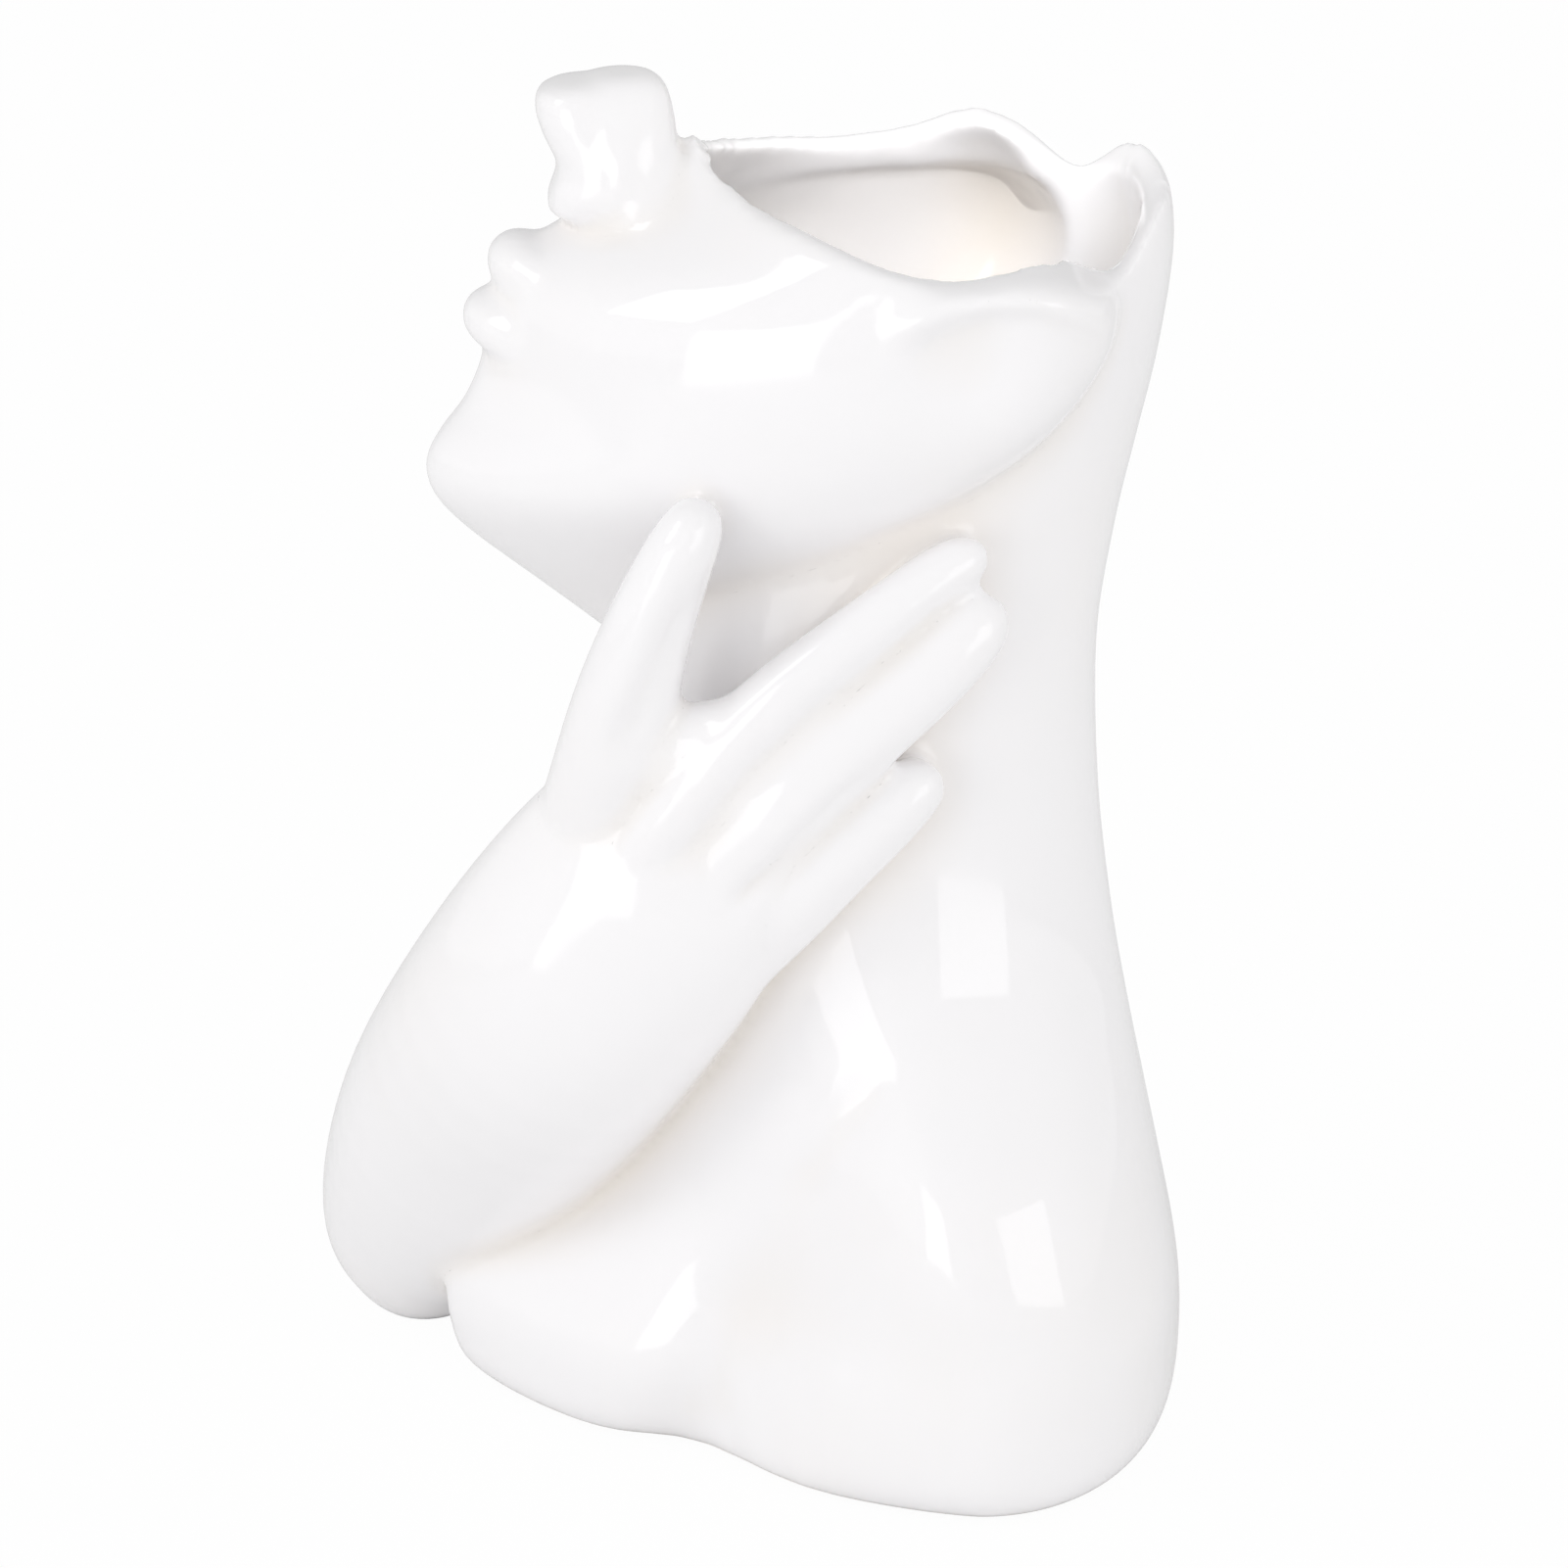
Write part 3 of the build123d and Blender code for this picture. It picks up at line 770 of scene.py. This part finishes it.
def body():
    """The whole glazed body as one even skin, hollow and open at the rim."""
    made = lofts_object(
        "body",
        level_rings([column_outline(row) for row in along_table(COLUMN_SHARES, LOFT_RINGS)]),
        level_rings([head_outline(row) for row in along_table(HEAD_SHARES, LOFT_RINGS)]),
        lip_rings(MOUTH_HEIGHT + UPPER_LIP_RADIUS, UPPER_LIP_SETBACK, UPPER_LIP_RADIUS),
        lip_rings(MOUTH_HEIGHT - LOWER_LIP_RADIUS, 0, LOWER_LIP_RADIUS),
        limb_rings(ARM_SHARES, FOREARM_HALF_WIDTH, FOREARM_HALF_DEPTH),
        limb_rings(INDEX_SHARES, FINGER_RADIUS, FINGER_RADIUS),
        limb_rings(MIDDLE_SHARES, MIDDLE_FINGER_RADIUS, MIDDLE_FINGER_RADIUS),
        limb_rings(LITTLE_SHARES, FINGER_RADIUS, FINGER_RADIUS),
        limb_rings(THUMB_SHARES, THUMB_RADIUS, THUMB_RADIUS),
        limb_rings(PLATE_SHARES, FINGER_RADIUS, FINGER_RADIUS),
        limb_rings(WEB_SHARES, FINGER_RADIUS, FINGER_RADIUS),
    )
    remesh(made, BODY_VOXEL)
    relax(made, CREASE_SMOOTHING)
    rim = above_rim()
    combine(made, rim, "DIFFERENCE")
    nose = lofts_object("nose_form", nose_rings(NOSE_SHARES), nose_rings(BRIDGE_SHARES))
    remesh(nose, BODY_VOXEL)
    combine(made, nose, "UNION")
    inside = hollow()
    combine(made, inside, "DIFFERENCE")
    below = slab("below", -FOREARM_HALF_DEPTH, 0)
    combine(made, below, "DIFFERENCE")
    delete(rim, nose, inside, below)
    remesh(made, BODY_VOXEL)
    dish_ears(made)
    draw(made, STROKES)
    places = coordinates(made)
    x, y, z = places[:, 0], numpy.abs(places[:, 1]), places[:, 2]
    line = numpy.array(rim_line(RIM_POINTS))
    edge = numpy.interp(x, line[:, 0], line[:, 1]) - near_dip(x, places[:, 1])
    group(made, "rim", (z > edge - RIM_DEPTH) & (z < edge + RIM_DEPTH / 2) & (x > FLOW_X[1]))
    flowing = (x > FLOW_X[0]) & (x < FLOW_X[1])
    flowing &= (z > FLOW_Z[0]) & (z < FLOW_Z[1])
    flowing &= (y > FLOW_Y[0]) & (y < FLOW_Y[1])
    group(made, "flow", flowing)
    relax(made, RIM_SMOOTHING, "rim")
    relax(made, FLOW_SMOOTHING, "flow")
    relax(made, CREASE_SMOOTHING)
    return made


def mark_pools_and_shade(made):
    """Marks how hollow the skin is at each vertex, closely and widely: glaze pools there, and the mark also
    paints shade into hollows and creases.
    """
    places = coordinates(made).astype(float)
    edges = numpy.empty(len(made.data.edges) * 2, numpy.int32)
    made.data.edges.foreach_get("vertices", edges)
    first, second = edges[0::2], edges[1::2]
    count = len(places)
    neighbours = numpy.bincount(first, minlength=count) + numpy.bincount(second, minlength=count)
    even = places.copy()
    pool_and_shade = numpy.zeros(count)
    done = 0
    for rounds, full_depth in POOL_AND_SHADE_STAGES:
        for _ in range(rounds - done):
            for axis in range(3):
                total = numpy.bincount(first, even[second, axis], count)
                total += numpy.bincount(second, even[first, axis], count)
                even[:, axis] = (even[:, axis] + total / neighbours) / 2
        depth = numpy.sum((even - places) * skin_normals(made), axis=1)
        pool_and_shade = numpy.maximum(pool_and_shade, numpy.clip(depth / full_depth, 0, 1))
        done = rounds
    # Stored as the cream mark: partly glaze pooling, partly painted shade in hollows and creases
    colours = numpy.ones((count, 4), numpy.float32)
    colours[:, :3] = pool_and_shade[:, None]
    layer = made.data.color_attributes.new("pool_and_shade", "FLOAT_COLOR", "POINT")
    layer.data.foreach_set("color", colours.ravel())


def cut_piece(whole, name, *territories):
    """Cuts a piece out of the whole along the last territory left after the first ones are taken away."""
    *kept_out, territory = territories
    for other in kept_out:
        combine(territory, other, "DIFFERENCE")
    piece = bpy.data.objects.new(name, whole.data.copy())
    bpy.context.scene.collection.objects.link(piece)
    combine(piece, territory, "INTERSECT")
    combine(whole, territory, "DIFFERENCE")
    delete(territory)
    return piece


def limb_object(name, *limbs):
    """Territory of one limb or of several that run together."""
    made = lofts_object(name, *[limb_rings(*limb, LIMB_GROWTH) for limb in limbs])
    remesh(made, FORM_VOXEL)
    return made


def take_skin(piece, whole):
    """Gives a piece the whole body's shading and its pool marks, which also carry painted shade, so that no
    luted seam shows under the glaze.
    """
    if "pool_and_shade" not in piece.data.color_attributes:
        piece.data.color_attributes.new("pool_and_shade", "FLOAT_COLOR", "POINT")
    for face in piece.data.polygons:
        face.use_smooth = True
    modifier = piece.modifiers.new("skin", "DATA_TRANSFER")
    modifier.object = whole
    modifier.use_vert_data = True
    modifier.data_types_verts = {"COLOR_VERTEX"}
    modifier.vert_mapping = "POLYINTERP_NEAREST"
    modifier.use_loop_data = True
    modifier.data_types_loops = {"CUSTOM_NORMAL"}
    modifier.loop_mapping = "POLYINTERP_NEAREST"
    apply_modifiers(piece)


def wrist_block():
    """Block beyond the wrist, on the hand's side."""
    rings = limb_rings(ARM_SHARES, FOREARM_HALF_WIDTH, FOREARM_HALF_DEPTH)
    station = LIMB_RINGS * WRIST_ROW // (len(ARM_SHARES) - 1)
    centre = sum(rings[station], Vector()) / LIMB_POINTS
    after = sum(rings[station + 1], Vector()) / LIMB_POINTS
    form = bmesh.new()
    bmesh.ops.create_cube(form, size=BACK_REACH * 2)
    bmesh.ops.translate(form, verts=form.verts, vec=(0, 0, BACK_REACH))
    turn = (after - centre).to_track_quat("Z", "Y").to_matrix()
    bmesh.ops.rotate(form, verts=form.verts, cent=(0, 0, 0), matrix=turn)
    bmesh.ops.translate(form, verts=form.verts, vec=centre)
    return as_object("wrist_block", form)


def thin_out(made, share):
    """Leaves a share of an object's faces, most of them where it curves most."""
    modifier = made.modifiers.new("thin", "DECIMATE")
    modifier.ratio = share
    apply_modifiers(made)


def pieces_of(whole):
    """Named pieces cut out of the whole body, each closed."""
    column = column_object("column_form", COLUMN_GROWTH)
    head = head_object("head_form", 0)
    rim = above_rim()
    crown = head_object("crown", 0)
    combine(crown, rim, "DIFFERENCE")
    nose = lofts_object(
        "nose_territory", nose_rings(NOSE_SHARES, LIMB_GROWTH), nose_rings(BRIDGE_SHARES, LIMB_GROWTH)
    )
    remesh(nose, FORM_VOXEL)
    found = {"nose": cut_piece(whole, "nose", crown, nose)}
    arm_limb = (ARM_SHARES, FOREARM_HALF_WIDTH, FOREARM_HALF_DEPTH)
    for name, shares, radius in (
        ("index_finger", INDEX_SHARES, FINGER_RADIUS),
        ("middle_fingers", MIDDLE_SHARES, MIDDLE_FINGER_RADIUS),
        ("little_finger", LITTLE_SHARES, FINGER_RADIUS),
        ("thumb", THUMB_SHARES, THUMB_RADIUS),
    ):
        arm = lofts_object("arm_core", limb_rings(*arm_limb))
        found[name] = cut_piece(whole, name, column, head, arm, limb_object(name, (shares, radius, radius)))
        delete(arm)
    plate = (PLATE_SHARES, FINGER_RADIUS, FINGER_RADIUS)
    web = (WEB_SHARES, FINGER_RADIUS, FINGER_RADIUS)
    arm = limb_object("arm", arm_limb, plate, web)
    found["forearm"] = cut_piece(whole, "forearm", column, head, arm)
    found["palm"] = cut_piece(found["forearm"], "palm", wrist_block())
    found["face_shell"] = cut_piece(whole, "face_shell", column, head_object("face", HEAD_GROWTH))
    found["base_slab"] = cut_piece(whole, "base_slab", slab("foot", -FLOOR_THICKNESS, FLOOR_THICKNESS))
    found["torso_shell"] = whole
    delete(column, head, rim, crown)
    return found


skin = body()
mark_pools_and_shade(skin)
whole = bpy.data.objects.new("torso_shell", skin.data.copy())
bpy.context.scene.collection.objects.link(whole)
thin_out(whole, KEPT_FACES_SHARE)
pieces = pieces_of(whole)


def add_node(tree, kind, **settings):
    """New node with its settings; numbered or named inputs are given in a dictionary called inputs."""
    values = settings.pop("inputs", {})
    node = tree.nodes.new(kind)
    for key, value in settings.items():
        setattr(node, key, value)
    for key, value in values.items():
        if isinstance(value, bpy.types.NodeSocket):
            tree.links.new(value, node.inputs[key])
        else:
            node.inputs[key].default_value = value
    return node


def calculate(tree, operation, first, second=0.0, third=0.0):
    """Result of a sum on one to three values."""
    node = add_node(tree, "ShaderNodeMath", operation=operation, inputs={0: first, 1: second, 2: third})
    return node.outputs[0]


def between(tree, value, low, high, start=0.0, end=1.0):
    """Value carried smoothly from one range to another."""
    node = add_node(
        tree, "ShaderNodeMapRange", interpolation_type="SMOOTHSTEP",
        inputs={"Value": value, "From Min": low, "From Max": high, "To Min": start, "To Max": end},
    )
    return node.outputs["Result"]


def blend(tree, share, first, second):
    """Colour between two colours."""
    node = add_node(tree, "ShaderNodeMix", data_type="RGBA", inputs={0: share, 6: first, 7: second})
    return node.outputs[2]


def noise(tree, place, scale, detail):
    """Cloudy pattern over the surface."""
    node = add_node(tree, "ShaderNodeTexNoise", inputs={"Vector": place, "Scale": scale, "Detail": detail})
    return node.outputs["Fac"]


def fired_glaze():
    """Shared look of the fired glaze: cream where it pools, which also paints shade into hollows and creases,
    faint waves, fine pits and a few iron specks.
    """
    tree = bpy.data.node_groups.new("fired_glaze", "ShaderNodeTree")
    for socket, kind in (("Color", "Color"), ("Roughness", "Float"), ("Height", "Float")):
        tree.interface.new_socket(name=socket, in_out="OUTPUT", socket_type="NodeSocket" + kind)
    out = tree.nodes.new("NodeGroupOutput")
    place = add_node(tree, "ShaderNodeTexCoord").outputs["Object"]
    clouds = noise(tree, place, CLOUD_SCALE, CLOUD_DETAIL)
    # Cream from the hollow mark: partly glaze pooling, partly painted shade
    pool_and_shade = add_node(tree, "ShaderNodeAttribute", attribute_name="pool_and_shade").outputs["Fac"]
    cream_and_shade = calculate(tree, "MULTIPLY", pool_and_shade, between(tree, clouds, *THIN_CLOUDS, CLOUDED_POOL_AND_SHADE_SHARE, 1.0))
    cream_and_shade = calculate(tree, "ADD", cream_and_shade, between(tree, clouds, *THICK_CLOUDS, 0.0, OPEN_CREAM_SHARE))
    colour = blend(tree, calculate(tree, "MINIMUM", cream_and_shade, 1.0), GLAZE_WHITE, GLAZE_CREAM_AND_SHADE)
    specks = add_node(tree, "ShaderNodeTexVoronoi", inputs={"Vector": place, "Scale": SPECK_SCALE})
    chance = add_node(tree, "ShaderNodeSeparateColor", inputs={0: specks.outputs["Color"]})
    size = calculate(tree, "MULTIPLY", chance.outputs[1], SPECK_SIZE)
    near = calculate(tree, "LESS_THAN", specks.outputs["Distance"], size)
    chosen = calculate(tree, "GREATER_THAN", chance.outputs[0], SPECK_CHANCE)
    speck = calculate(tree, "MULTIPLY", near, chosen)
    colour = blend(tree, calculate(tree, "MULTIPLY", speck, SPECK_SHARE), colour, SPECK_BROWN)
    waves = noise(tree, place, WAVE_SCALE, WAVE_DETAIL)
    pits = noise(tree, place, PIT_SCALE, PIT_DETAIL)
    pitting = calculate(tree, "MULTIPLY", pits, PIT_HEIGHT)
    height = calculate(tree, "MULTIPLY_ADD", waves, WAVE_HEIGHT, pitting)
    height = calculate(tree, "SUBTRACT", height, calculate(tree, "MULTIPLY", speck, SPECK_DEPTH))
    dull_speck = calculate(tree, "MULTIPLY", speck, SPECK_ROUGHNESS)
    roughness = calculate(tree, "ADD", between(tree, pits, *PITTED, *GLAZE_ROUGHNESS), dull_speck)
    tree.links.new(colour, out.inputs["Color"])
    tree.links.new(roughness, out.inputs["Roughness"])
    tree.links.new(height, out.inputs["Height"])
    return tree


def glaze_material(name, marks, bare_foot):
    """Glossy glaze; on the foot it stops short of the bare biscuit underside."""
    made = bpy.data.materials.new(name)
    made.use_nodes = True
    tree = made.node_tree
    shader = tree.nodes["Principled BSDF"]
    fired = add_node(tree, "ShaderNodeGroup", node_tree=marks)
    colour, roughness, height = fired.outputs
    if bare_foot:
        place = add_node(tree, "ShaderNodeTexCoord").outputs["Object"]
        level = add_node(tree, "ShaderNodeSeparateXYZ", inputs={0: place}).outputs["Z"]
        ragged = noise(tree, place, PIT_SCALE, BISCUIT_DETAIL)
        line = calculate(tree, "MULTIPLY_ADD", ragged, BISCUIT_RAGGED, level)
        bare = between(tree, line, BISCUIT_LOW, BISCUIT_HIGH, 1.0, 0.0)
        grain = noise(tree, place, GRAIN_SCALE, GRAIN_DETAIL)
        biscuit = blend(tree, between(tree, grain, *GRAINY), BISCUIT_LIGHT, BISCUIT_DARK)
        colour = blend(tree, bare, colour, biscuit)
        dull_foot = calculate(tree, "MULTIPLY", bare, BISCUIT_ROUGHNESS)
        roughness = calculate(tree, "MAXIMUM", roughness, dull_foot)
        height = calculate(tree, "MULTIPLY_ADD", calculate(tree, "MULTIPLY", grain, bare), PIT_HEIGHT, height)
    bump = add_node(tree, "ShaderNodeBump", inputs={"Height": height, "Distance": 1.0})
    tree.links.new(colour, shader.inputs["Base Color"])
    tree.links.new(roughness, shader.inputs["Roughness"])
    tree.links.new(bump.outputs[0], shader.inputs["Normal"])
    shader.inputs["IOR"].default_value = GLAZE_IOR
    return made


marks = fired_glaze()
glazes = {
    "white_glaze": glaze_material("white_glaze", marks, False),
    "foot_glaze": glaze_material("foot_glaze", marks, True),
}
for name, piece in pieces.items():
    take_skin(piece, skin)
    piece.data.materials.clear()
    slot = "foot_glaze" if name == "base_slab" else "white_glaze"
    piece.data.materials.append(glazes[slot])
    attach(piece, "root")
    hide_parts(name)
delete(skin)

# Camera
CAMERA_TURN = radians(-4)
CAMERA_LIFT = radians(21)
CAMERA_DISTANCE = 1000 * MM
CAMERA_NEAREST = 50 * MM
TARGET_HEIGHT = 117 * MM
AIM_RIGHT = 4.87 * MM
AIM_DOWN = 11.26 * MM
PHOTO_PIXELS = 1601
FOCAL_PIXELS = 6260
SENSOR = 36

# Softboxes: name, turn round from the front and lift above the level in degrees, width, height and strength
LAMP_DISTANCE = 1300 * MM
SOFTBOXES = [
    ("left_softbox", -38, 4, 620 * MM, 750 * MM, 2.3),
    ("right_softbox", 38, 8, 700 * MM, 750 * MM, 2.4),
    ("high_softbox", -66, 38, 420 * MM, 500 * MM, 1.7),
]

# Narrow lamp that lights the far inner wall through the mouth, wider than it is high
SPOT_LIFT = 46
SPOT_DISTANCE = 1100 * MM
SPOT_AIM = Vector((30, 34, 189)) * MM
SPOT_STRENGTH = 30
SPOT_ANGLE = radians(2.9)
SPOT_WIDENING = 1.8
SPOT_BLEND = 0.8
SPOT_RADIUS = 10 * MM

# Floor and backdrop
FLOOR_SIZE = 4
FLOOR_PAINT = (0.9, 0.9, 0.9, 1)
FLOOR_GLOW_SHARE = 0.97

# Strength of the studio's light from the front and from behind, and what the sides add, with the directions
# between which each changes
AMBIENT_FRONT = 0.87
AMBIENT_BACK = 0.70
AMBIENT_SIDE = 0.50
FRONT_TO_BACK = (-0.7, 0.9)
MIDDLE_TO_SIDE = (0.35, 0.95)


def add_camera():
    """Camera at the photograph's viewing angle."""
    back = Vector((
        sin(CAMERA_TURN) * cos(CAMERA_LIFT),
        -cos(CAMERA_TURN) * cos(CAMERA_LIFT),
        sin(CAMERA_LIFT),
    ))
    right = Vector((cos(CAMERA_TURN), sin(CAMERA_TURN), 0))
    up = back.cross(right)
    data = bpy.data.cameras.new("camera")
    data.sensor_width = SENSOR
    data.lens = FOCAL_PIXELS / PHOTO_PIXELS * SENSOR
    data.clip_start = CAMERA_NEAREST
    camera = bpy.data.objects.new("camera", data)
    bpy.context.scene.collection.objects.link(camera)
    aim = Vector((0, 0, TARGET_HEIGHT)) + right * AIM_RIGHT - up * AIM_DOWN
    camera.location = aim + back * CAMERA_DISTANCE
    camera.rotation_euler = back.to_track_quat("Z", "Y").to_euler()
    bpy.context.scene.camera = camera


def around(turn, lift, distance):
    """Place at a distance from the vase's middle: turn round from the front, and lift above the level."""
    turn, lift = radians(turn), radians(lift)
    return Vector((
        distance * sin(turn) * cos(lift),
        -distance * cos(turn) * cos(lift),
        TARGET_HEIGHT + distance * sin(lift),
    ))


def add_lamp(data, place, aim):
    """Lamp at a place, turned towards its aim."""
    lamp = bpy.data.objects.new(data.name, data)
    bpy.context.scene.collection.objects.link(lamp)
    lamp.location = place
    lamp.rotation_euler = (place - aim).to_track_quat("Z", "Y").to_euler()
    return lamp


def add_softboxes():
    """Soft rectangular studio lamps, which leave window shapes on the glaze."""
    for name, turn, lift, width, height, strength in SOFTBOXES:
        data = bpy.data.lights.new(name, "AREA")
        data.shape = "RECTANGLE"
        data.size = width
        data.size_y = height
        data.energy = strength
        add_lamp(data, around(turn, lift, LAMP_DISTANCE), Vector((0, 0, TARGET_HEIGHT)))


def add_mouth_spot():
    """Narrow lamp into the mouth, which the glaze doesn't mirror."""
    data = bpy.data.lights.new("mouth_spot", "SPOT")
    data.energy = SPOT_STRENGTH
    data.spot_size = SPOT_ANGLE
    data.spot_blend = SPOT_BLEND
    data.shadow_soft_size = SPOT_RADIUS
    lamp = add_lamp(data, around(0, SPOT_LIFT, SPOT_DISTANCE), SPOT_AIM)
    lamp.visible_glossy = False
    lamp.scale = (SPOT_WIDENING, 1, 1)


def floor_paint():
    """Matt pale paint that the camera sees as nearly white, and that keeps the vase's shadow."""
    made = bpy.data.materials.new("floor_paint")
    made.use_nodes = True
    tree = made.node_tree
    tree.nodes.clear()
    matt = add_node(tree, "ShaderNodeBsdfDiffuse", inputs={"Color": FLOOR_PAINT})
    glow = add_node(tree, "ShaderNodeEmission")
    seen = add_node(tree, "ShaderNodeLightPath").outputs["Is Camera Ray"]
    share = calculate(tree, "MULTIPLY", seen, FLOOR_GLOW_SHARE)
    mix = add_node(tree, "ShaderNodeMixShader", inputs={0: share, 1: matt.outputs[0], 2: glow.outputs[0]})
    add_node(tree, "ShaderNodeOutputMaterial", inputs={"Surface": mix.outputs[0]})
    return made


def add_floor():
    """Pale floor under the vase."""
    form = bmesh.new()
    bmesh.ops.create_grid(form, x_segments=1, y_segments=1, size=FLOOR_SIZE)
    floor = as_object("floor", form)
    floor.data.materials.append(floor_paint())


def add_studio():
    """Pale backdrop for the camera, and soft light that changes slowly with its direction for all else."""
    world = bpy.data.worlds.new("studio")
    bpy.context.scene.world = world
    world.use_nodes = True
    tree = world.node_tree
    tree.nodes.clear()
    direction = add_node(tree, "ShaderNodeTexCoord").outputs["Generated"]
    way = add_node(tree, "ShaderNodeSeparateXYZ", inputs={0: direction})
    aside = calculate(tree, "ABSOLUTE", way.outputs["X"])
    strength = calculate(
        tree, "ADD", between(tree, way.outputs["Y"], *FRONT_TO_BACK, AMBIENT_FRONT, AMBIENT_BACK),
        between(tree, aside, *MIDDLE_TO_SIDE, 0.0, AMBIENT_SIDE),
    )
    ambient = add_node(tree, "ShaderNodeBackground", inputs={"Strength": strength})
    backdrop = add_node(tree, "ShaderNodeBackground")
    seen = add_node(tree, "ShaderNodeLightPath").outputs["Is Camera Ray"]
    both = {0: seen, 1: ambient.outputs[0], 2: backdrop.outputs[0]}
    mix = add_node(tree, "ShaderNodeMixShader", inputs=both)
    add_node(tree, "ShaderNodeOutputWorld", inputs={"Surface": mix.outputs[0]})


add_camera()
add_softboxes()
add_mouth_spot()
add_floor()
add_studio()
bpy.context.scene.view_settings.view_transform = "Standard"
